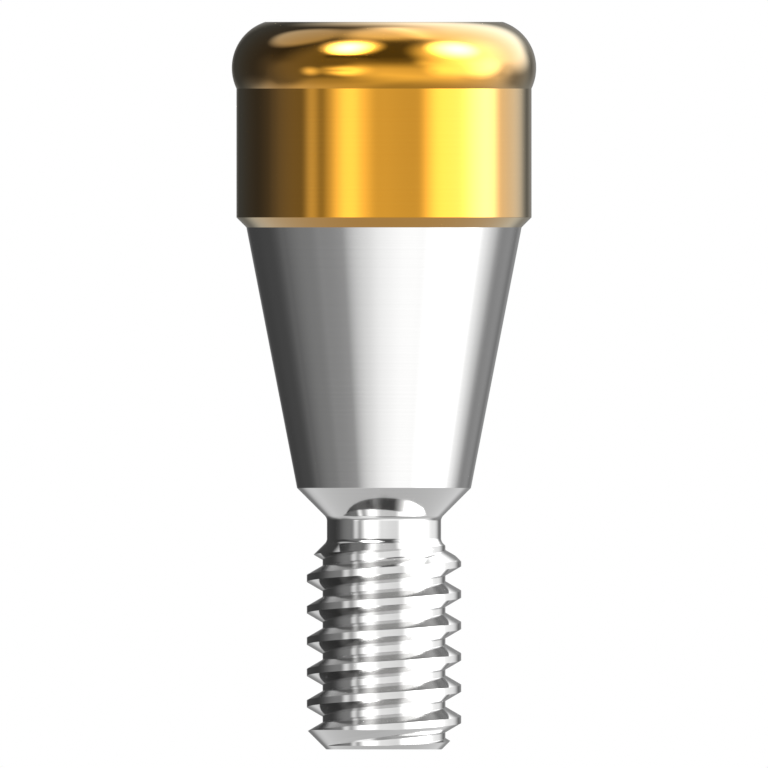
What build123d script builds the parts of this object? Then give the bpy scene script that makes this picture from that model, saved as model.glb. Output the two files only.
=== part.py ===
from build123d import *
from math import ceil, radians, sqrt, tan
import os

# Dental abutment: a stud-type attachment that screws into an implant and holds an overdenture.
# One turned piece of titanium alloy, in millimetres, upright on its threaded end.
# The Z axis is the turning axis. Z = 0 is the end face of the thread, and the head is at the top.

# Screw thread, right-handed M2 x 0.4, with crests turned a little under size
thread_diameter = 1.97
thread_pitch = 0.4
thread_angle = 60.0
thread_length = 2.655
crest_flat = 0.2175 * thread_pitch
root_flat = 0.2 * thread_pitch
crest_height_at_x = 0.955 * thread_pitch

# 45 degree chamfers lead the thread in and out, and both end just inside the thread root
end_face_relief = 0.0465
neck_relief = 0.055

# Relief neck between the thread and the shoulder
neck_length = 0.3
neck_fillet = 0.09

# Seat cone that wedges into the implant
cone_small_diameter = 2.219
cone_half_angle = 11.0
cone_length = 3.325

# Collar that passes through the gum, on a 45 degree ledge around the cone's wide end
collar_ledge = 0.127
collar_length = 1.645

# Retention head, a ring rounded to one radius. It overhangs the collar by the undercut that a
# retention insert snaps under, and its flat rim is cut a little below the round's highest point.
head_undercut = 0.0595
head_round_radius = 0.616
head_rim_cut = 0.03

# Round socket in the head
socket_diameter = 2.35
socket_depth = 1.45
socket_mouth_chamfer = 0.13
socket_floor_fillet = 0.12

# Hexagon drive below the socket's floor, broached over a drilled pilot hole
hex_across_flats = 1.25
hex_depth = 1.1
hex_lead_chamfer = 0.08
pilot_diameter = 1.18
drill_point_angle = 118.0

# Radii that follow from the sizes above
thread_radius = thread_diameter / 2
flank_slope = tan(radians(thread_angle / 2))
thread_depth = (thread_pitch - crest_flat - root_flat) / 2 / flank_slope
root_radius = thread_radius - thread_depth
end_face_radius = root_radius - end_face_relief
neck_radius = root_radius - neck_relief
cone_small_radius = cone_small_diameter / 2
cone_large_radius = cone_small_radius + cone_length * tan(radians(cone_half_angle))
collar_radius = cone_large_radius + collar_ledge
head_radius = collar_radius + head_undercut
socket_radius = socket_diameter / 2

# Heights that follow from the sizes above. Each 45 degree face is as tall as it is wide.
end_chamfer_top = thread_radius - end_face_radius
run_out_bottom = thread_length - (thread_radius - neck_radius)
neck_top = thread_length + neck_length
cone_bottom = neck_top + (cone_small_radius - neck_radius)
cone_top = cone_bottom + cone_length
collar_bottom = cone_top + collar_ledge
collar_top = collar_bottom + collar_length

# The head's round starts on the collar's edge, is widest at its centre's height, and ends at the rim
round_start = head_round_radius - head_undercut
round_end = head_round_radius - head_rim_cut
head_widest = collar_top + sqrt(head_round_radius**2 - round_start**2)
total_height = head_widest + round_end
rim_radius = head_radius - head_round_radius + sqrt(head_round_radius**2 - round_end**2)

# Levels of the socket and the drive
socket_floor = total_height - socket_depth
hex_floor = socket_floor - hex_depth
pilot_radius = pilot_diameter / 2
drill_point_depth = pilot_radius / tan(radians(drill_point_angle / 2))


def turned_blank():
    """The outside of the abutment, turned from its half section, before the thread is cut."""
    outline = Polyline(
        (0, total_height),
        (0, 0),
        (end_face_radius, 0),
        (thread_radius, end_chamfer_top),
        (thread_radius, run_out_bottom),
        (neck_radius, thread_length),
        (neck_radius, neck_top),
        (cone_small_radius, cone_bottom),
        (cone_large_radius, cone_top),
        (collar_radius, collar_bottom),
        (collar_radius, collar_top),
    )
    head_round = ThreePointArc(
        (collar_radius, collar_top),
        (head_radius, head_widest),
        (rim_radius, total_height),
    )
    rim = Line((rim_radius, total_height), (0, total_height))
    half_section = make_face(outline + head_round + rim)
    neck_corners = [
        half_section.vertices().sort_by_distance((neck_radius, height, 0))[0]
        for height in (thread_length, neck_top)
    ]
    half_section = fillet(neck_corners, neck_fillet)
    return revolve(Plane.XZ * half_section, axis=Axis.Z)


def groove_turn(start, height):
    """One turn of the groove between the thread's crests, rising by height from start at +X.

    Its section is a trapezoid: as wide as the root flat at the root, and opening at the thread
    angle to a little outside the crests, by less than what would make neighbouring turns meet.
    """
    crest_clearance = crest_flat / 4 / flank_slope
    outer_radius = thread_radius + crest_clearance
    root_half = root_flat / 2
    outer_half = root_half + (outer_radius - root_radius) * flank_slope

    def edge_line(radius, offset):
        return Edge.make_helix(thread_pitch, height, radius, center=(0, 0, start + offset))

    lines = [
        edge_line(root_radius, -root_half),
        edge_line(outer_radius, -outer_half),
        edge_line(outer_radius, outer_half),
        edge_line(root_radius, root_half),
    ]
    walls = [Face.make_surface_from_curves(lines[i - 1], lines[i]) for i in range(len(lines))]
    ends = [Face(Wire.make_polygon([line @ end for line in lines])) for end in (0, 1)]
    return Solid(Shell(walls + ends))


def groove_turns():
    """The turns of the thread groove, from below the end face to where it has run out in the neck."""
    turns_below = ceil(crest_height_at_x / thread_pitch) + 1
    start = crest_height_at_x - (turns_below + 0.5) * thread_pitch
    end = thread_length + neck_length / 2
    turns = []
    while start < end:
        turns.append(groove_turn(start, min(thread_pitch, end - start)))
        start += thread_pitch
    return turns


def socket_cut():
    """The round socket, with a chamfered mouth and a rounded corner at its floor."""
    mouth_radius = socket_radius + socket_mouth_chamfer
    half_section = make_face(
        Polyline(
            (0, socket_floor),
            (socket_radius, socket_floor),
            (socket_radius, total_height - socket_mouth_chamfer),
            (mouth_radius, total_height),
            (0, total_height),
            close=True,
        )
    )
    floor_corner = half_section.vertices().sort_by_distance((socket_radius, socket_floor, 0))[0]
    half_section = fillet(floor_corner, socket_floor_fillet)
    return revolve(Plane.XZ * half_section, axis=Axis.Z)


def drive_cut():
    """The hexagon drive, with a chamfered lead and the pilot drill's point below it."""
    inner_radius = hex_across_flats / 2
    corner_radius = inner_radius / sqrt(0.75)
    hexagon = Plane.XY.offset(hex_floor) * RegularPolygon(corner_radius, 6)
    drive = extrude(hexagon, amount=hex_depth)
    lead_radius = corner_radius + hex_lead_chamfer
    lead_bottom = socket_floor - (lead_radius - inner_radius)
    lead = make_face(
        Polyline(
            (0, lead_bottom),
            (inner_radius, lead_bottom),
            (lead_radius, socket_floor),
            (0, socket_floor),
            close=True,
        )
    )
    point = make_face(
        Polyline(
            (0, hex_floor),
            (pilot_radius, hex_floor),
            (0, hex_floor - drill_point_depth),
            close=True,
        )
    )
    return drive + revolve(Plane.XZ * lead, axis=Axis.Z) + revolve(Plane.XZ * point, axis=Axis.Z)


def abutment_body():
    """The finished abutment: the blank with its thread, socket and drive cut."""
    body = turned_blank()
    for turn in groove_turns():
        body -= turn
    return body - socket_cut() - drive_cut()


os.makedirs("parts", exist_ok=True)
export_step(abutment_body(), "parts/abutment_body.step")
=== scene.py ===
from collections import namedtuple
from math import asin, ceil, cos, pi, radians, sin, sqrt, tan
from types import SimpleNamespace

import bmesh
import bpy
from bpy.props import FloatProperty, FloatVectorProperty, IntProperty, PointerProperty
from bpy.types import Operator, Panel, PropertyGroup
from mathutils import Matrix, Vector


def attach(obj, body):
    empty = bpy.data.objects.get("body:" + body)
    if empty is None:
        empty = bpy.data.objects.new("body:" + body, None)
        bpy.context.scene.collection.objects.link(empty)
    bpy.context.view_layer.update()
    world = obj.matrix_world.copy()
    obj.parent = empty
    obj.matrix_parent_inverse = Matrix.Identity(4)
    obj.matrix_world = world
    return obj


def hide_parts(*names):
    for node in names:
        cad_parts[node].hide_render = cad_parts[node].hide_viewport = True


bl_info = {
    "name": "Dental Abutment",
    "version": (1, 0, 0),
    "blender": (4, 5, 0),
    "location": "3D View > Sidebar > Abutment",
    "description": "Adds a turned overdenture abutment with its gold film, and a photo studio",
    "category": "Add Mesh",
}

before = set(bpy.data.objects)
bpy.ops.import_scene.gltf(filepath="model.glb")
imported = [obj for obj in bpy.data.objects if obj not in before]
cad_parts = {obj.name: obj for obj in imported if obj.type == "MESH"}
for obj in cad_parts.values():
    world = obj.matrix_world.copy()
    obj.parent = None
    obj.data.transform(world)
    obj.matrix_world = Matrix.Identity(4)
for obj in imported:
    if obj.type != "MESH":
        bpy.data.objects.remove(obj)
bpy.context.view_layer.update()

MM = 0.001

# Places of the three materials on the abutment
METAL, FILM, FLANK = range(3)

# Steps in each rounded part of the half section
HEAD_STEPS = 56
NECK_STEPS = 8
SOCKET_STEPS = 12
EDGE_STEPS = 3

# Equal parts of a turn. One is spun, and the others are copies of it.
BLANK_PARTS = 16
GROOVE_PARTS = 8

# Vertices nearer to each other than the first, in millimetres, are merged. Nearer to the axis than
# the second, a place has no outward direction.
WELD = 1e-5
ON_AXIS = 1e-6

# Faces that meet at less than this angle are parts of one smooth surface
SHARP_ANGLE = radians(16)

# A face is level if its normal's horizontal part is under the first, and turned if the sine of the
# angle by which it aims past the axis is under the second
LEVEL_FACE = 1e-4
TURNED_FACE = 0.02

# How far the upward part of a flank's normal may be from that of the thread angle, and the share
# of the root's radius outside which flanks lie
FLANK_RANGE = 0.065
FLANK_START = 0.99

# A metal shows its edge colour by the gain times the power of how far it is turned from the eye
EDGE_GAIN = 1.92
EDGE_POWER = 2.1

# Rings are counted along the axis, with this share of the distance from it. Lines in the thread
# are counted outwards, with this share of the height above its helix. Each has one layer of finer
# lines, of this strength.
FACE_SHARE = 0.37
CLIMB_SHARE = 0.6
FINER_LINES = 0.4

# Noise on the titanium and in the gold film: features in a metre and layers of finer detail
HAND_MARKS = (900.0, 3.0)
CLOUDS = (700.0, 2.0)

# Share of the tool rings in the pattern of the titanium's colour. The rest is hand marks.
RINGS_IN_TONE = 0.6

# How far the patterns move each colour, as shares of its mean, and each roughness
TITANIUM_TONES = (0.03, 0.03, 0.03)
FLANK_TONES = (0.06, 0.06, 0.06)
GOLD_TONES = (0.015, 0.04, 0.1)
RING_GLOSS = 0.03
HAND_GLOSS = 0.03
CLOUD_GLOSS = 0.02
THREADING_GLOSS = 0.05

# Share of the hexagon's depth at which the gold film has thinned out
FILM_REACH = 0.6

# Brightness of the tent's wall, and what its roof and its ground add to it. Each of them sets in
# between two heights in degrees.
WALL_LEVEL = 0.27
ROOF_LEVEL, ROOF_HEIGHTS = 1.15, (62, 81)
GROUND_LEVEL, GROUND_HEIGHTS = 0.36, (-15, -28)

# Sides of the floor's disc, and the steps round and up the tent's sphere
FLOOR_SIDES = 96
TENT_STEPS = (48, 24)

WHITE = (1.0, 1.0, 1.0, 1.0)


def length(name, description, millimetres):
    """A size in metres whose default is given in millimetres."""
    return FloatProperty(
        name=name,
        description=description,
        default=millimetres * MM,
        min=0.0,
        precision=6,
        unit="LENGTH",
    )


def colour(name, description, default):
    """A linear colour."""
    return FloatVectorProperty(
        name=name,
        description=description,
        default=default,
        size=3,
        min=0.0,
        max=1.0,
        subtype="COLOR",
    )


def fraction(name, description, default):
    """A number from 0 to 1."""
    return FloatProperty(
        name=name,
        description=description,
        default=default,
        min=0.0,
        max=1.0,
        subtype="FACTOR",
    )


def angle(name, description, degrees):
    """An angle whose default is given in degrees."""
    return FloatProperty(
        name=name,
        description=description,
        default=radians(degrees),
        subtype="ANGLE",
    )


class AbutmentSizes(PropertyGroup):
    """Sizes of the turned body, its thread and its drive."""

    thread_diameter: length("Thread diameter", "Across the crests of the screw thread", 1.97)
    thread_pitch: length("Thread pitch", "Rise of the thread in one turn", 0.4)
    thread_angle: angle("Thread angle", "Between the two flanks of a groove", 60.0)
    thread_length: length("Thread length", "From the end face to the neck", 2.655)
    crest_flat: length("Crest flat", "Height of the flat on a crest", 0.087)
    root_flat: length("Root flat", "Height of the flat at the bottom of the groove", 0.08)
    crest_height_at_x: length(
        "Crest height at +X", "Height of a crest's middle on the +X side", 0.382
    )
    end_face_relief: length(
        "End face relief", "How far the end face lies inside the thread root", 0.0465
    )
    neck_relief: length("Neck relief", "How far the neck lies inside the thread root", 0.055)
    neck_length: length("Neck length", "Straight neck between the thread and the shoulder", 0.3)
    neck_fillet: length("Neck fillet", "Radius in both corners of the neck", 0.09)
    cone_small_diameter: length(
        "Cone small diameter", "Across the narrow end of the seat cone", 2.219
    )
    cone_half_angle: angle("Cone half angle", "Between the seat cone and its axis", 11.0)
    cone_length: length("Cone length", "Height of the seat cone", 3.325)
    collar_ledge: length("Collar ledge", "Width of the 45 degree ledge under the collar", 0.127)
    collar_length: length("Collar length", "Height of the collar above its ledge", 1.645)
    head_undercut: length("Head undercut", "How far the head overhangs the collar", 0.0595)
    head_round_radius: length("Head radius", "Radius of the head's rounded side", 0.616)
    head_rim_cut: length(
        "Rim cut", "How far below the round's highest point the rim is flat", 0.03
    )
    socket_diameter: length("Socket diameter", "Across the round socket in the head", 2.35)
    socket_depth: length("Socket depth", "From the rim to the socket's floor", 1.45)
    socket_mouth_chamfer: length(
        "Socket chamfer", "Width of the chamfer at the socket's mouth", 0.13
    )
    socket_floor_fillet: length("Socket fillet", "Radius around the socket's floor", 0.12)
    hex_across_flats: length("Hexagon", "Across the flats of the hexagon drive", 1.25)
    hex_depth: length("Hexagon depth", "From the socket's floor to the hexagon's floor", 1.1)
    hex_lead_chamfer: length(
        "Hexagon lead", "How far the lead reaches past the hexagon's corners", 0.08
    )
    pilot_diameter: length(
        "Pilot diameter", "Across the drilled hole that the hexagon is broached over", 1.18
    )
    drill_point_angle: angle("Drill point", "Point angle of the pilot drill", 118.0)
    edge_break: length(
        "Edge break", "Radius to which the polished outer edges are broken", 0.006
    )
    facets: IntProperty(
        name="Facets", description="Steps round one full turn", default=384, min=48, max=720
    )


class AbutmentFinish(PropertyGroup):
    """Colours and polish of the titanium, of the thread's flanks and of the gold film."""

    titanium: colour(
        "Titanium", "Reflected colour of the polished titanium", (0.62, 0.618, 0.614)
    )
    titanium_edge: colour(
        "Titanium edge", "Colour of its reflection where it is seen edge on", (1.0, 1.0, 1.0)
    )
    titanium_roughness: fraction("Titanium roughness", "Mean roughness of the titanium", 0.07)
    # The flank's darker colours are painted shade in the thread's groove; its rougher finish and
    # lines are the real threaded surface.
    flank: colour(
        "Flank",
        "Reflected colour of the thread's flanks, which no polish reaches",
        (0.474, 0.472, 0.467),
    )
    flank_edge: colour(
        "Flank edge", "Colour of its reflection where it is seen edge on", (0.96, 0.96, 0.96)
    )
    flank_roughness: fraction("Flank roughness", "Mean roughness of the thread's flanks", 0.09)
    gold: colour("Nitride", "Reflected colour of the gold nitride film", (0.563, 0.262, 0.027))
    gold_edge: colour(
        "Nitride edge",
        "Colour of its reflection where it is seen edge on",
        (0.735, 0.631, 0.426),
    )
    gold_roughness: fraction("Nitride roughness", "Mean roughness of the nitride film", 0.07)
    socket_film: colour(
        "Socket film", "Reflected colour of the thinner film in the socket", (0.62, 0.44, 0.19)
    )
    drive_film: colour(
        "Drive film",
        "Reflected colour deep in the drive, which the film hardly reaches",
        (0.58, 0.53, 0.44),
    )
    drive_roughness: fraction(
        "Drive roughness", "Mean roughness inside the socket and the drive", 0.24
    )
    tool_feed: length("Tool feed", "Spacing of the fine lines that the tools leave", 0.03)
    turning_depth: length("Turning depth", "Depth of the rings after polishing", 0.00004)
    threading_depth: length("Threading depth", "Depth of the lines on the flanks", 0.00008)


class StudioSettings(PropertyGroup):
    """The photograph's framing and the studio round the object."""

    picture_width: length("Picture width", "Width that the picture shows at the object", 9.8)
    camera_height: length(
        "Camera height", "Height of the level camera above the object's end face", 4.663
    )
    camera_distance: length(
        "Camera distance", "Distance of the camera from the object's axis", 400.0
    )
    floor_radius: length("Floor radius", "Radius of the pale floor disc", 8.0)
    floor_gap: length("Floor gap", "Gap between the floor and the object's end face", 0.002)
    floor_tone: fraction("Floor tone", "How pale the floor's paint is", 0.97)
    floor_whiteness: fraction(
        "Floor whiteness", "Share of plain white in the floor as it is seen", 0.85
    )
    tent_radius: length("Tent radius", "Radius of the light tent round the object", 600.0)


def work_out(sizes):
    """The sizes in millimetres with the radii and heights that follow from them."""
    s = SimpleNamespace()
    for name in AbutmentSizes.__annotations__:
        value = getattr(sizes, name)
        is_length = AbutmentSizes.bl_rna.properties[name].unit == "LENGTH"
        setattr(s, name, value / MM if is_length else value)
    s.flank_slope = tan(s.thread_angle / 2)
    s.thread_radius = s.thread_diameter / 2
    s.thread_depth = (s.thread_pitch - s.crest_flat - s.root_flat) / 2 / s.flank_slope
    s.root_radius = s.thread_radius - s.thread_depth
    s.end_face_radius = s.root_radius - s.end_face_relief
    s.neck_radius = s.root_radius - s.neck_relief
    s.cone_small_radius = s.cone_small_diameter / 2
    s.cone_large_radius = s.cone_small_radius + s.cone_length * tan(s.cone_half_angle)
    s.collar_radius = s.cone_large_radius + s.collar_ledge
    s.head_radius = s.collar_radius + s.head_undercut
    s.socket_radius = s.socket_diameter / 2
    s.neck_top = s.thread_length + s.neck_length
    s.cone_bottom = s.neck_top + s.cone_small_radius - s.neck_radius
    s.cone_top = s.cone_bottom + s.cone_length
    s.collar_bottom = s.cone_top + s.collar_ledge
    s.collar_top = s.collar_bottom + s.collar_length
    round_start = s.head_round_radius - s.head_undercut
    s.head_widest = s.collar_top + sqrt(s.head_round_radius**2 - round_start**2)
    s.total_height = s.head_widest + s.head_round_radius - s.head_rim_cut
    s.socket_floor = s.total_height - s.socket_depth
    s.hex_floor = s.socket_floor - s.hex_depth
    s.hex_corner_radius = s.hex_across_flats / 2 / cos(pi / 6)
    s.lead_radius = s.hex_corner_radius + s.hex_lead_chamfer
    s.pilot_radius = s.pilot_diameter / 2
    s.drill_point = s.hex_floor - s.pilot_radius / tan(s.drill_point_angle / 2)
    return s


def add_outline(bm, corners):
    """Joins (radius, height) corners in the XZ plane with edges and returns their vertices."""
    verts = [bm.verts.new((radius, 0.0, height)) for radius, height in corners]
    for pair in zip(verts, verts[1:]):
        bm.edges.new(pair)
    return verts


def round_corner(bm, vert, radius, steps):
    """Rounds one corner of an outline to a radius."""
    here = vert.co.copy()
    before, after = [(edge.other_vert(vert).co - here).normalized() for edge in vert.link_edges]
    turn = pi - before.angle(after)
    bmesh.ops.bevel(
        bm,
        geom=[vert],
        offset=radius * tan(turn / 2),
        offset_type="OFFSET",
        affect="VERTICES",
        segments=steps,
        profile=0.5,
        material=-1,
        clamp_overlap=False,
    )


def outline_head_round(bm, start, s):
    """Carries the outline on round the head, from the collar to the rim, and returns its end."""
    centre = Vector((s.head_radius - s.head_round_radius, 0.0, s.head_widest))
    lower = asin((s.head_widest - s.collar_top) / s.head_round_radius)
    upper = asin((s.head_round_radius - s.head_rim_cut) / s.head_round_radius)
    arc = bmesh.ops.spin(
        bm,
        geom=[start],
        cent=centre,
        axis=(0, 1, 0),
        angle=-(lower + upper),
        steps=HEAD_STEPS,
        use_merge=False,
        use_normal_flip=False,
        use_duplicate=False,
    )
    return next(item for item in arc["geom_last"] if isinstance(item, bmesh.types.BMVert))


def wind(bm, facets, parts_in_turn, turns=1, pitch=0.0):
    """Winds an outline round the axis: one part is spun, and its copies carry on from its end."""
    steps = facets // parts_in_turn
    sweep = 2 * pi / parts_in_turn
    rise = pitch / parts_in_turn
    bmesh.ops.spin(
        bm,
        geom=bm.verts[:] + bm.edges[:],
        cent=(0, 0, 0),
        axis=(0, 0, 1),
        dvec=(0, 0, rise / steps),
        angle=sweep,
        steps=steps,
        use_merge=False,
        use_normal_flip=False,
        use_duplicate=False,
    )
    first = bm.verts[:] + bm.edges[:] + bm.faces[:]
    for part in range(1, turns * parts_in_turn):
        copy = bmesh.ops.duplicate(bm, geom=first)["geom"]
        verts = [item for item in copy if isinstance(item, bmesh.types.BMVert)]
        place = Matrix.Translation((0, 0, rise * part)) @ Matrix.Rotation(sweep * part, 4, "Z")
        bmesh.ops.transform(bm, matrix=place, verts=verts)
    bmesh.ops.remove_doubles(bm, verts=bm.verts[:], dist=WELD)


def add_turned_blank(bm, s):
    """The turned abutment with its socket and pilot hole, before thread and hexagon are cut."""
    outside = [
        (0.0, 0.0),
        (s.end_face_radius, 0.0),
        (s.thread_radius, s.thread_radius - s.end_face_radius),
        (s.thread_radius, s.thread_length - s.thread_radius + s.neck_radius),
        (s.neck_radius, s.thread_length),
        (s.neck_radius, s.neck_top),
        (s.cone_small_radius, s.cone_bottom),
        (s.cone_large_radius, s.cone_top),
        (s.collar_radius, s.collar_bottom),
        (s.collar_radius, s.collar_top),
    ]
    _, end_edge, _, _, *neck_corners, cone_edge, _, ledge_edge, head_start = add_outline(
        bm, outside
    )
    rim_edge = outline_head_round(bm, head_start, s)
    inside = [
        (s.socket_radius + s.socket_mouth_chamfer, s.total_height),
        (s.socket_radius, s.total_height - s.socket_mouth_chamfer),
        (s.socket_radius, s.socket_floor),
        (s.lead_radius, s.socket_floor),
        (s.pilot_radius, s.socket_floor - s.lead_radius + s.pilot_radius),
        (s.pilot_radius, s.hex_floor),
        (0.0, s.drill_point),
    ]
    mouth_edge, _, floor_corner, lead_edge, *_ = add_outline(bm, inside)
    bm.edges.new((rim_edge, mouth_edge))
    for vert in neck_corners:
        round_corner(bm, vert, s.neck_fillet, NECK_STEPS)
    round_corner(bm, floor_corner, s.socket_floor_fillet, SOCKET_STEPS)
    for vert in (end_edge, cone_edge, ledge_edge, mouth_edge, lead_edge):
        round_corner(bm, vert, s.edge_break, EDGE_STEPS)
    wind(bm, s.facets, BLANK_PARTS)


def add_thread_groove(bm, s):
    """The space between the thread's crests, wound from below the end face up to the neck.

    Its section opens at the thread angle to a little outside the crests, by less than what would
    make neighbouring turns meet. It is turned half a facet from the blank, so no two edges
    coincide.
    """
    clearance = s.crest_flat / 4 / s.flank_slope
    outer_radius = s.thread_radius + clearance
    root_half = s.root_flat / 2
    outer_half = root_half + (outer_radius - s.root_radius) * s.flank_slope
    height_at_x = s.crest_height_at_x - s.thread_pitch / 2
    end = s.thread_length + s.neck_length / 2
    turns = ceil((end + s.thread_pitch / 2) / s.thread_pitch)
    facets_to_end = round((end - height_at_x) / s.thread_pitch * s.facets)
    start_turn = (facets_to_end - turns * s.facets + 0.5) / s.facets
    start = height_at_x + start_turn * s.thread_pitch
    section = [
        (s.root_radius, start - root_half),
        (outer_radius, start - outer_half),
        (outer_radius, start + outer_half),
        (s.root_radius, start + root_half),
    ]
    verts = add_outline(bm, section)
    bm.edges.new((verts[-1], verts[0]))
    turned = Matrix.Rotation(start_turn * 2 * pi, 3, "Z")
    bmesh.ops.rotate(bm, cent=(0, 0, 0), matrix=turned, verts=verts)
    wind(bm, s.facets, GROOVE_PARTS, turns, s.thread_pitch)
    bmesh.ops.holes_fill(bm, edges=bm.edges[:], sides=len(section))


def add_hexagon_broach(bm, s):
    """The hexagon that is broached over the pilot hole, with two flats facing -Y and +Y.

    It is taller than the drive is deep, so that its top stands in the open socket.
    """
    depth = s.hex_depth + s.socket_depth / 4
    middle = Matrix.Translation((0, 0, s.hex_floor + depth / 2))
    bmesh.ops.create_cone(
        bm,
        cap_ends=True,
        segments=6,
        radius1=s.hex_corner_radius,
        radius2=s.hex_corner_radius,
        depth=depth,
        matrix=middle @ Matrix.Rotation(pi / 2, 4, "Z"),
    )


def mesh_object(name, add_shape):
    """A linked object whose mesh a bmesh function makes."""
    bm = bmesh.new()
    add_shape(bm)
    mesh = bpy.data.meshes.new(name)
    bm.to_mesh(mesh)
    bm.free()
    made = bpy.data.objects.new(name, mesh)
    bpy.context.scene.collection.objects.link(made)
    return made


def solid_object(name, add_shape, s):
    """A closed object in millimetres with its faces outwards, made by one of the shapes above."""

    def add_solid(bm):
        add_shape(bm, s)
        bmesh.ops.recalc_face_normals(bm, faces=bm.faces[:])

    return mesh_object(name, add_solid)


def cut_mesh(body, tools):
    """The mesh of a body after every tool is cut from it. The body and the tools are used up."""
    for tool in tools:
        cut = body.modifiers.new(tool.name, "BOOLEAN")
        cut.operation = "DIFFERENCE"
        cut.solver = "MANIFOLD"
        cut.object = tool
    depsgraph = bpy.context.evaluated_depsgraph_get()
    mesh = bpy.data.meshes.new_from_object(body.evaluated_get(depsgraph))
    for used in [body, *tools]:
        used_mesh = used.data
        bpy.data.objects.remove(used)
        bpy.data.meshes.remove(used_mesh)
    return mesh


def turned_slope(face):
    """The outward and the upward part of a turned face's normal, or None for any other face."""
    level = face.normal.xy
    if level.length < LEVEL_FACE:
        return Vector((0.0, face.normal.z))
    aim = level.normalized()
    for vert in face.verts:
        radial = vert.co.xy
        if radial.length > ON_AXIS and abs(aim.cross(radial.normalized())) > TURNED_FACE:
            return None
    outward = aim.dot(face.calc_center_median().xy)
    return Vector((level.length if outward > 0 else -level.length, face.normal.z))


def is_flank(face, s):
    """Whether a face lies on a flank of the thread, and not on its crest, root or chamfers."""
    centre = face.calc_center_median()
    outside_root = centre.xy.length > s.root_radius * FLANK_START
    off_angle = abs(abs(face.normal.z) - cos(s.thread_angle / 2))
    return centre.z < s.thread_length and outside_root and off_angle < FLANK_RANGE


def flank_normal(place, up, s):
    """The normal of a thread flank at a point, on the flank that faces up (1) or down (-1)."""
    out = place.xy.normalized()
    around = Vector((-out.y, out.x)) * -up * s.thread_pitch / (2 * pi * place.xy.length)
    level = out * s.flank_slope + around
    return Vector((level.x, level.y, up)).normalized()


def corner_normals(bm, s):
    """The normal of every face corner, as on the true surface between the facets."""
    slopes = {face: turned_slope(face) for face in bm.faces}
    areas = {face: face.calc_area() for face in bm.faces}
    same_surface = cos(SHARP_ANGLE)
    normals = []
    for face in bm.faces:
        own = slopes[face]
        flank = is_flank(face, s)
        for vert in face.verts:
            radial = vert.co.xy
            if flank:
                normals.append(flank_normal(vert.co, 1 if face.normal.z > 0 else -1, s))
            elif own is None or radial.length < ON_AXIS:
                normals.append(face.normal.copy())
            else:
                slope = Vector((0.0, 0.0))
                for near in vert.link_faces:
                    if slopes[near] and slopes[near].dot(own) > same_surface:
                        slope += slopes[near] * areas[near]
                slope.normalize()
                out = radial.normalized() * slope.x
                normals.append(Vector((out.x, out.y, slope.y)))
    return normals


def material_place(face, s):
    """The place of the material that a face has: the film above the cone and in the drive."""
    centre = face.calc_center_median()
    in_drive = centre.z > s.drill_point and centre.xy.length < s.lead_radius
    if centre.z > s.cone_top or in_drive:
        return FILM
    return FLANK if is_flank(face, s) else METAL


def finish_mesh(mesh, s):
    """Cleans the cut mesh, brings it to metres, and gives each face its material and normals."""
    bm = bmesh.new()
    bm.from_mesh(mesh)
    bmesh.ops.remove_doubles(bm, verts=bm.verts[:], dist=2 * WELD)
    bmesh.ops.dissolve_degenerate(bm, dist=WELD, edges=bm.edges[:])
    for face in bm.faces:
        face.material_index = material_place(face, s)
        face.smooth = True
    bm.normal_update()
    normals = corner_normals(bm, s)
    bmesh.ops.scale(bm, vec=(MM, MM, MM), verts=bm.verts[:])
    open_edges = sum(not edge.is_manifold for edge in bm.edges)
    bm.to_mesh(mesh)
    bm.free()
    if open_edges:
        raise RuntimeError(f"the abutment's mesh has {open_edges} open edges")
    mesh.set_sharp_from_angle(angle=SHARP_ANGLE)
    mesh.normals_split_custom_set(normals)


class Wire:
    """A shader socket on which Python maths adds Math nodes."""

    def __init__(self, nodes, socket):
        self.nodes = nodes
        self.socket = socket

    def math(self, operation, *values):
        """Adds a Math node whose first value this is."""
        inputs = dict(enumerate((self, *values)))
        return self.nodes.add("ShaderNodeMath", {"operation": operation}, inputs)

    def reflected(self, operation, value):
        """Adds a Math node whose second value this is."""
        return self.nodes.add("ShaderNodeMath", {"operation": operation}, {0: value, 1: self})

    def __add__(self, other):
        return self.math("ADD", other)

    def __radd__(self, other):
        return self.reflected("ADD", other)

    def __sub__(self, other):
        return self.math("SUBTRACT", other)

    def __rsub__(self, other):
        return self.reflected("SUBTRACT", other)

    def __mul__(self, other):
        return self.math("MULTIPLY", other)

    def __rmul__(self, other):
        return self.reflected("MULTIPLY", other)

    def __pow__(self, other):
        return self.math("POWER", other)

    def __rpow__(self, other):
        return self.reflected("POWER", other)

    def __abs__(self):
        return self.math("ABSOLUTE")


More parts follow.
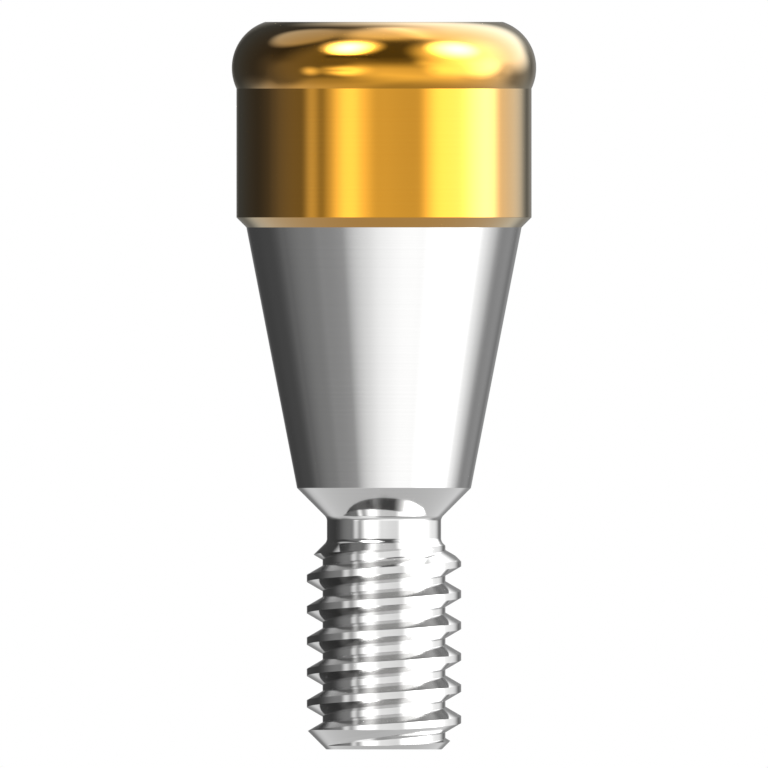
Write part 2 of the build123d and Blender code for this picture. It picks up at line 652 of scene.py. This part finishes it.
class Nodes:
    """The node tree of a material or world, which its nodes are added to."""

    def __init__(self, owner):
        owner.use_nodes = True
        self.tree = owner.node_tree
        self.tree.nodes.clear()

    def add(self, kind, settings=None, inputs=None, output=0):
        """Adds a node, gives it its settings, then its inputs, and returns one of its outputs."""
        node = self.tree.nodes.new(kind)
        for name, value in (settings or {}).items():
            setattr(node, name, value)
        for key, value in (inputs or {}).items():
            if isinstance(value, Wire):
                self.tree.links.new(value.socket, node.inputs[key])
            else:
                node.inputs[key].default_value = value
        if not node.outputs:
            return None
        return Wire(self, node.outputs[output])

    def object_place(self):
        """The place on the object, in metres."""
        return self.add("ShaderNodeTexCoord", output="Object")

    def split(self, vector):
        """The three parts of a vector."""
        parts = self.add("ShaderNodeSeparateXYZ", inputs={0: vector})
        return [Wire(self, socket) for socket in parts.socket.node.outputs]

    def dot(self, first, second):
        """The dot product of two vectors."""
        inputs = {0: first, 1: second}
        return self.add("ShaderNodeVectorMath", {"operation": "DOT_PRODUCT"}, inputs, "Value")

    def ramp(self, value, start, end, high=1.0):
        """A smooth step from 0 to high while the value goes from start to end."""
        return self.add(
            "ShaderNodeMapRange",
            {"interpolation_type": "SMOOTHSTEP"},
            {"Value": value, "From Min": start, "From Max": end, "To Max": high},
        )

    def mix_colour(self, share, first, second):
        """A colour between two colours."""
        return self.add("ShaderNodeMix", {"data_type": "RGBA"}, {0: share, 6: first, 7: second}, 2)

    def noise(self, place, scale, detail):
        """Soft irregular noise about 0.5 in three dimensions."""
        inputs = {"Vector": place, "Scale": scale, "Detail": detail}
        return self.add("ShaderNodeTexNoise", inputs=inputs)

    def bump(self, depth, relief):
        """A normal tilted by a relief from 0 to 1, whose highest part is this many metres."""
        return self.add("ShaderNodeBump", inputs={"Distance": depth, "Height": relief})

    def glow(self, level):
        """A white light of this brightness."""
        return self.add("ShaderNodeEmission", inputs={"Color": WHITE, "Strength": level})

    def mix_shader(self, share, first, second):
        """A blend of two shaders."""
        return self.add("ShaderNodeMixShader", inputs={0: share, 1: first, 2: second})

    def show(self, shader, kind="ShaderNodeOutputMaterial"):
        """Puts a shader on the surface."""
        self.add(kind, inputs={"Surface": shader})


def opaque(rgb):
    """A linear colour with full alpha."""
    return (*rgb, 1.0)


def fine_lines(nodes, travel, feed):
    """Fine uneven lines about 0.5 across the way that a tool travels."""
    return nodes.add(
        "ShaderNodeTexNoise",
        {"noise_dimensions": "1D"},
        {"W": travel, "Scale": 1.0 / feed, "Detail": 1.0, "Roughness": FINER_LINES},
    )


def axis_distance(x, y):
    """How far a place is from the turning axis."""
    return (x * x + y * y) ** 0.5


def turning_rings(nodes, place, feed):
    """Rings that the lathe tool leaves along the side and across the faces."""
    x, y, z = nodes.split(place)
    return fine_lines(nodes, z + axis_distance(x, y) * FACE_SHARE, feed)


def threading_lines(nodes, place, feed, pitch):
    """Lines that the threading tool leaves in the groove, which climb one pitch in a turn."""
    x, y, z = nodes.split(place)
    climb = z - y.math("ARCTAN2", x) * (pitch / (2 * pi))
    return fine_lines(
        nodes, climb.math("WRAP", pitch, 0.0) * CLIMB_SHARE + axis_distance(x, y), feed
    )


def uneven_tone(nodes, pattern, mean, spread):
    """A colour that a pattern from 0 to 1 moves about its mean, by a share of each part of it."""
    darker, lighter = (
        opaque(part * (1 + side * share) for part, share in zip(mean, spread)) for side in (-1, 1)
    )
    return nodes.mix_colour(pattern, darker, lighter)


def show_metal(nodes, tone, edge, roughness, normal):
    """Shows a metal that reflects in one colour head on and in another edge on."""
    facing = nodes.add("ShaderNodeLayerWeight", inputs={"Blend": 0.5}, output="Facing")
    edge_share = ((facing**EDGE_POWER) * EDGE_GAIN).math("MINIMUM", 1.0)
    gloss = {"Metallic": 1.0, "Roughness": roughness, "Normal": normal}
    shaders = [
        nodes.add("ShaderNodeBsdfPrincipled", inputs={"Base Color": rgb, **gloss})
        for rgb in (tone, opaque(edge))
    ]
    nodes.show(nodes.mix_shader(edge_share, *shaders))


def polished_titanium(finish):
    """Polished titanium alloy, with faint turning rings and hand marks in its gloss."""
    material = bpy.data.materials.new("polished_titanium")
    nodes = Nodes(material)
    place = nodes.object_place()
    rings = turning_rings(nodes, place, finish.tool_feed)
    marks = nodes.noise(place, *HAND_MARKS)
    pattern = rings * RINGS_IN_TONE + marks * (1 - RINGS_IN_TONE)
    tone = uneven_tone(nodes, pattern, finish.titanium, TITANIUM_TONES)
    roughness = (
        finish.titanium_roughness + (rings - 0.5) * RING_GLOSS + (marks - 0.5) * HAND_GLOSS
    )
    normal = nodes.bump(finish.turning_depth, rings)
    show_metal(nodes, tone, finish.titanium_edge, roughness, normal)
    return material


def machined_flank(finish, s):
    """The same titanium as threading leaves it, with lines along the thread, and a darker colour
    that is painted shade in the groove.
    """
    material = bpy.data.materials.new("machined_flank")
    nodes = Nodes(material)
    lines = threading_lines(nodes, nodes.object_place(), finish.tool_feed, s.thread_pitch * MM)
    # The flank colour, darker than the titanium, is painted shade in the groove
    tone = uneven_tone(nodes, lines, finish.flank, FLANK_TONES)
    roughness = finish.flank_roughness + (lines - 0.5) * THREADING_GLOSS
    normal = nodes.bump(finish.threading_depth, lines)
    show_metal(nodes, tone, finish.flank_edge, roughness, normal)
    return material


def gold_nitride(finish, s):
    """A gold nitride film on the metal, faintly clouded, and thinner and duller in the socket."""
    material = bpy.data.materials.new("gold_nitride")
    nodes = Nodes(material)
    place = nodes.object_place()
    rings = turning_rings(nodes, place, finish.tool_feed)
    clouds = nodes.noise(place, *CLOUDS)
    tone = uneven_tone(nodes, (clouds + rings) * 0.5, finish.gold, GOLD_TONES)
    x, y, z = nodes.split(place)
    mouth_radius = s.socket_radius + s.socket_mouth_chamfer
    film_end = s.socket_floor - s.hex_depth * FILM_REACH
    inside = nodes.ramp(axis_distance(x, y), mouth_radius * MM, s.socket_radius * MM)
    deep_inside = inside * nodes.ramp(z, s.socket_floor * MM, film_end * MM)
    tone = nodes.mix_colour(inside, tone, opaque(finish.socket_film))
    tone = nodes.mix_colour(deep_inside, tone, opaque(finish.drive_film))
    polish = finish.gold_roughness + inside * (finish.drive_roughness - finish.gold_roughness)
    roughness = polish + (rings - 0.5) * RING_GLOSS + (clouds - 0.5) * CLOUD_GLOSS
    normal = nodes.bump(finish.turning_depth, rings)
    show_metal(nodes, tone, finish.gold_edge, roughness, normal)
    return material


class OBJECT_OT_add_abutment(Operator):
    """Add the abutment: a turned body with its thread and hexagon cut, and its gold film"""

    bl_idname = "object.add_abutment"
    bl_label = "Add Abutment"
    bl_options = {"REGISTER", "UNDO"}

    def execute(self, context):
        s = work_out(context.scene.abutment_sizes)
        finish = context.scene.abutment_finish
        body = solid_object("abutment", add_turned_blank, s)
        groove = solid_object("thread_groove", add_thread_groove, s)
        broach = solid_object("hexagon_broach", add_hexagon_broach, s)
        mesh = cut_mesh(body, [groove, broach])
        mesh.materials.clear()
        mesh.materials.append(polished_titanium(finish))
        mesh.materials.append(gold_nitride(finish, s))
        mesh.materials.append(machined_flank(finish, s))
        finish_mesh(mesh, s)
        abutment = bpy.data.objects.new("abutment", mesh)
        context.scene.collection.objects.link(abutment)
        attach(abutment, "root")
        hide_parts("abutment_body")
        return {"FINISHED"}


Light = namedtuple("Light", "name azimuth height wide tall round soft level")

# Light panels and shades of the tent. Azimuth 0 is toward the camera and 90 is on the picture's
# right, and height is above the level of the object. Wide, tall and soft (the edge) are half
# angles in degrees, and a panel with round 1 is an oval. Level is its brightness, where 1 is paper
# white. Each panel covers the ones before it.
LIGHT_PANELS = [
    Light("low left wall", -43.8, -41.6, 56.6, 3.7, 0.5, 12.8, 1.10),
    Light("front gap", 8.2, 42.9, 25.8, 21.9, 1.0, 8.8, 0.13),
    Light("front band", 20.0, -10.5, 44.6, 15.5, 0.5, 12.9, 1.28),
    Light("band lamp", -28.7, -5.1, 13.4, 3.5, 1.0, 12.6, 3.25),
    Light("band gap", -43.5, 18.9, 11.5, 13.6, 1.0, 6.9, 0.25),
    Light("small band lamp", -58.5, -6.2, 6.2, 6.2, 1.0, 6.7, 1.82),
    Light("band lamp core", -28.7, -7.1, 6.9, 5.6, 1.0, 9.6, 4.67),
    Light("band streak", -37.4, -5.1, 11.9, 1.5, 1.0, 4.4, 0.72),
    Light("band core", -26.2, -4.1, 4.5, 3.1, 1.0, 6.0, 3.11),
    Light("left wall", -129.4, 26.0, 44.9, 45.6, 0.5, 15.0, 0.05),
    Light("left glow", -81.6, -9.1, 15.5, 20.4, 1.0, 7.3, 0.28),
    Light("side glow", -96.1, -8.1, 6.7, 22.3, 1.0, 17.6, 0.14),
    Light("right back panel", 111.2, 37.3, 41.5, 36.5, 1.0, 11.8, 1.83),
    Light("upper right panel", 122.3, 76.6, 15.9, 2.6, 1.0, 10.5, 3.02),
    Light("low right panel", 49.7, -22.1, 47.2, 0.2, 0.6, 26.5, 2.07),
    Light("right softbox", 70.1, 24.2, 29.5, 24.0, 0.6, 18.3, 3.39),
    Light("right softbox core", 77.4, 2.2, 16.2, 14.6, 1.0, 11.5, 5.21),
    Light("front lamp", 35.0, 11.2, 3.5, 0.9, 1.0, 13.5, 2.42),
    Light("right front core", 52.1, -2.9, 15.3, 11.8, 1.0, 11.1, 3.36),
    Light("low front lamp", 37.9, -7.1, 0.6, 0.4, 1.0, 7.2, 2.03),
    Light("right lamp", 64.6, 37.7, 12.0, 11.8, 1.0, 12.2, 20.17),
    Light("left back panel", -111.7, 54.1, 18.8, 19.2, 1.0, 5.5, 0.67),
    Light("left softbox", -32.5, 48.8, 14.5, 15.2, 1.0, 9.8, 5.14),
    Light("left lamp", -33.4, 46.5, 8.4, 10.3, 1.0, 9.6, 29.78),
    Light("left lamp shade", -26.0, 27.0, 20.0, 3.0, 1.0, 3.0, 0.12),
    Light("left floor light", -42.0, -60.0, 16.0, 9.0, 1.0, 9.0, 1.60),
    Light("front floor shade", 6.0, -62.0, 13.0, 6.0, 1.0, 9.0, 0.45),
    Light("right floor shade", 54.0, -58.0, 17.0, 9.0, 1.0, 9.0, 0.60),
    Light("back strip", 165.6, 47.2, 12.3, 11.5, 1.0, 15.8, 1.83),
    Light("right rim gap", 151.1, 4.2, 2.5, 7.9, 1.0, 14.9, 0.05),
    Light("right rim", 108.1, -1.2, 3.1, 5.3, 1.0, 9.0, 1.19),
]


def toward(azimuth, height):
    """The direction with this azimuth and height in degrees."""
    a, h = radians(azimuth), radians(height)
    return Vector((sin(a) * cos(h), -cos(a) * cos(h), sin(h)))


def panel_share(nodes, ray, panel):
    """How far a ray's direction lies on a panel: 1 on it, falling to 0 over its soft edge."""
    front = toward(panel.azimuth, panel.height)
    right = toward(panel.azimuth + 90, 0)
    up = front.cross(right)
    ahead = nodes.dot(ray, front)
    across = abs(nodes.dot(ray, right).math("ARCTAN2", ahead))
    above = abs(nodes.dot(ray, up).math("ARCSINE"))
    corner = min(panel.wide, panel.tall) * panel.round
    past_side = (across - radians(panel.wide - corner)).math("MAXIMUM", 0.0)
    past_top = (above - radians(panel.tall - corner)).math("MAXIMUM", 0.0)
    distance = (past_side * past_side + past_top * past_top) ** 0.5
    return nodes.ramp(distance, radians(corner + panel.soft), radians(corner - panel.soft))


def tent_light():
    """The tent's light: a grey wall, a paler roof and ground, and the light panels over them."""
    material = bpy.data.materials.new("tent_light")
    nodes = Nodes(material)
    place = nodes.object_place()
    ray = nodes.add("ShaderNodeVectorMath", {"operation": "NORMALIZE"}, {0: place}, "Vector")
    height = nodes.split(ray)[2].math("ARCSINE")
    roof = nodes.ramp(height, *map(radians, ROOF_HEIGHTS), high=ROOF_LEVEL)
    ground = nodes.ramp(height, *map(radians, GROUND_HEIGHTS), high=GROUND_LEVEL)
    level = WALL_LEVEL + roof + ground
    for panel in LIGHT_PANELS:
        share = panel_share(nodes, ray, panel)
        level = level + share * (panel.level - level)
    nodes.show(nodes.glow(level))
    # Reflections find the tent by themselves, so it needs no samples as a lamp
    material.cycles.emission_sampling = "NONE"
    return material


def seen_directly(nodes):
    """1 for the camera and for what metal or glass shows, 0 for the light that falls on things."""
    path = nodes.add("ShaderNodeLightPath").socket.node.outputs
    kinds = ("Is Camera Ray", "Is Glossy Ray", "Is Transmission Ray")
    camera, glossy, clear = (Wire(nodes, path[kind]) for kind in kinds)
    return (camera + glossy + clear).math("MINIMUM", 1.0)


def floor_white(studio):
    """A pale floor that shows as white with a light shadow, and is clear from below."""
    material = bpy.data.materials.new("floor_white")
    nodes = Nodes(material)
    paint = nodes.add(
        "ShaderNodeBsdfDiffuse", inputs={"Color": opaque([studio.floor_tone] * 3)}
    )
    top = nodes.mix_shader(seen_directly(nodes) * studio.floor_whiteness, paint, nodes.glow(1.0))
    underside = nodes.add("ShaderNodeBsdfTransparent")
    from_below = nodes.add("ShaderNodeNewGeometry", output="Backfacing")
    nodes.show(nodes.mix_shader(from_below, top, underside))
    return material


class SCENE_OT_add_photo_studio(Operator):
    """Add the pale floor, the light tent and the camera at the photograph's viewing angle"""

    bl_idname = "scene.add_photo_studio"
    bl_label = "Add Photo Studio"
    bl_options = {"REGISTER", "UNDO"}

    def execute(self, context):
        studio = context.scene.abutment_studio
        floor = self.add_floor(studio)
        tent = self.add_tent(studio)
        self.add_world(context)
        self.add_camera(context, studio)
        context.scene.view_settings.view_transform = "Standard"
        return {"FINISHED"}

    def add_floor(self, studio):
        """A pale disc a hair below the object. In reflections the tent's ground stands for it."""
        floor = mesh_object(
            "floor",
            lambda bm: bmesh.ops.create_circle(
                bm, cap_ends=True, segments=FLOOR_SIDES, radius=studio.floor_radius
            ),
        )
        floor.data.materials.append(floor_white(studio))
        floor.location.z = -studio.floor_gap
        floor.visible_glossy = False
        return floor

    def add_tent(self, studio):
        """A sphere of light that only reflections see, so the world alone lights the floor."""
        around, up = TENT_STEPS
        tent = mesh_object(
            "light_tent",
            lambda bm: bmesh.ops.create_uvsphere(
                bm, u_segments=around, v_segments=up, radius=studio.tent_radius
            ),
        )
        tent.data.materials.append(tent_light())
        tent.visible_camera = False
        tent.visible_diffuse = False
        tent.visible_shadow = False
        return tent

    def add_world(self, context):
        """A plain white world, which the camera sees round the floor."""
        world = bpy.data.worlds.new("studio_white")
        nodes = Nodes(world)
        white = nodes.add("ShaderNodeBackground", inputs={"Color": WHITE, "Strength": 1.0})
        nodes.show(white, "ShaderNodeOutputWorld")
        context.scene.world = world

    def add_camera(self, context, studio):
        """A level camera straight in front of the object, which draws without perspective."""
        data = bpy.data.cameras.new("camera")
        data.type = "ORTHO"
        data.ortho_scale = studio.picture_width
        data.clip_start = studio.camera_distance / 10
        data.clip_end = studio.camera_distance * 3
        camera = bpy.data.objects.new("camera", data)
        camera.location = (0.0, -studio.camera_distance, studio.camera_height)
        camera.rotation_euler = (pi / 2, 0.0, 0.0)
        context.scene.collection.objects.link(camera)
        context.scene.camera = camera


class VIEW3D_PT_abutment(Panel):
    """Sizes, finishes and studio of the abutment"""

    bl_label = "Dental Abutment"
    bl_idname = "VIEW3D_PT_abutment"
    bl_space_type = "VIEW_3D"
    bl_region_type = "UI"
    bl_category = "Abutment"

    def draw(self, context):
        column = self.layout.column()
        for group, operator in (
            (context.scene.abutment_sizes, OBJECT_OT_add_abutment.bl_idname),
            (context.scene.abutment_finish, None),
            (context.scene.abutment_studio, SCENE_OT_add_photo_studio.bl_idname),
        ):
            for name in type(group).__annotations__:
                column.prop(group, name)
            if operator:
                column.operator(operator)
            column.separator()


CLASSES = (
    AbutmentSizes,
    AbutmentFinish,
    StudioSettings,
    OBJECT_OT_add_abutment,
    SCENE_OT_add_photo_studio,
    VIEW3D_PT_abutment,
)


def register():
    for cls in CLASSES:
        bpy.utils.register_class(cls)
    bpy.types.Scene.abutment_sizes = PointerProperty(type=AbutmentSizes)
    bpy.types.Scene.abutment_finish = PointerProperty(type=AbutmentFinish)
    bpy.types.Scene.abutment_studio = PointerProperty(type=StudioSettings)


def unregister():
    del bpy.types.Scene.abutment_studio
    del bpy.types.Scene.abutment_finish
    del bpy.types.Scene.abutment_sizes
    for cls in reversed(CLASSES):
        bpy.utils.unregister_class(cls)


def main():
    register()
    bpy.ops.object.add_abutment()
    bpy.ops.scene.add_photo_studio()


if __name__ == "__main__":
    main()
